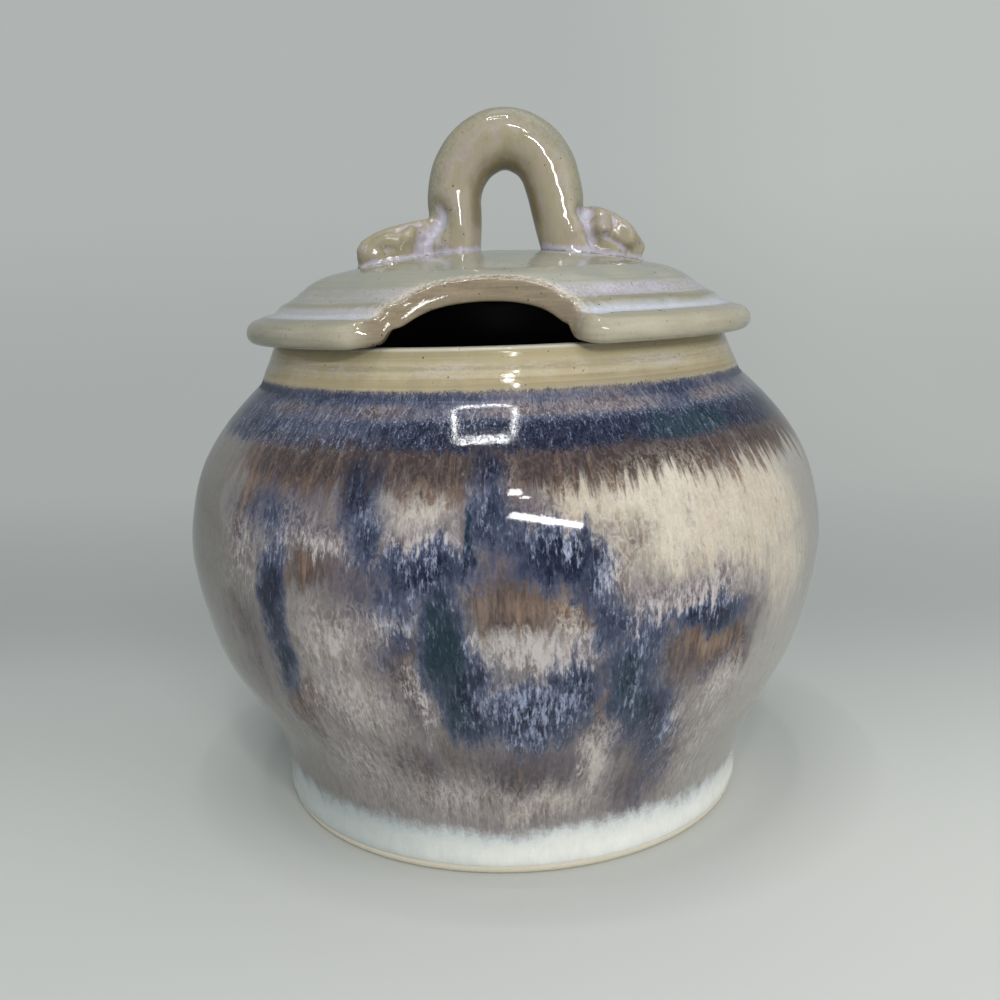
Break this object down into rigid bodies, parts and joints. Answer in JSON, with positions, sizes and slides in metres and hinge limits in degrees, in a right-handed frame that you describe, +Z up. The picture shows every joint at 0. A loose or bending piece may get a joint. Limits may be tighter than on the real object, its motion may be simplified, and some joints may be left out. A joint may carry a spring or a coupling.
{
  "type": "honey pot",
  "caption": "Round-bellied glazed stoneware honey pot with a loose domed lid that has a looped coil handle and a rounded spoon notch cut into its edge.",
  "frame": {"origin": "middle of the foot's base, on the surface that the pot stands on", "axes": "+Z up, -Y towards the spoon notch in the lid's edge, the handle's arch spans along X, turned 3 degrees about Z"},
  "size_m": [0.1214, 0.1214, 0.1308],
  "materials": {
    "pot_glaze": "glossy layered runny glaze in blue, cream and brown over stoneware, bare clay at the foot's edge",
    "lid_glaze": "glossy khaki celadon glaze with pale lilac pools in the grooves",
    "handle_glaze": "glossy olive khaki glaze with pale lilac pools in the creases"
  },
  "bodies": {
    "pot": {"pot": "pot_glaze"},
    "lid": {"lid": "lid_glaze", "handle_arch": "handle_glaze", "handle_left_end": "handle_glaze", "handle_right_end": "handle_glaze"}
  },
  "joints": [
    {"name": "lid_lift", "type": "slide", "parent": "pot", "child": "lid", "axis": [0, 0, 1], "range_m": [0, 0.04]}
  ]
}
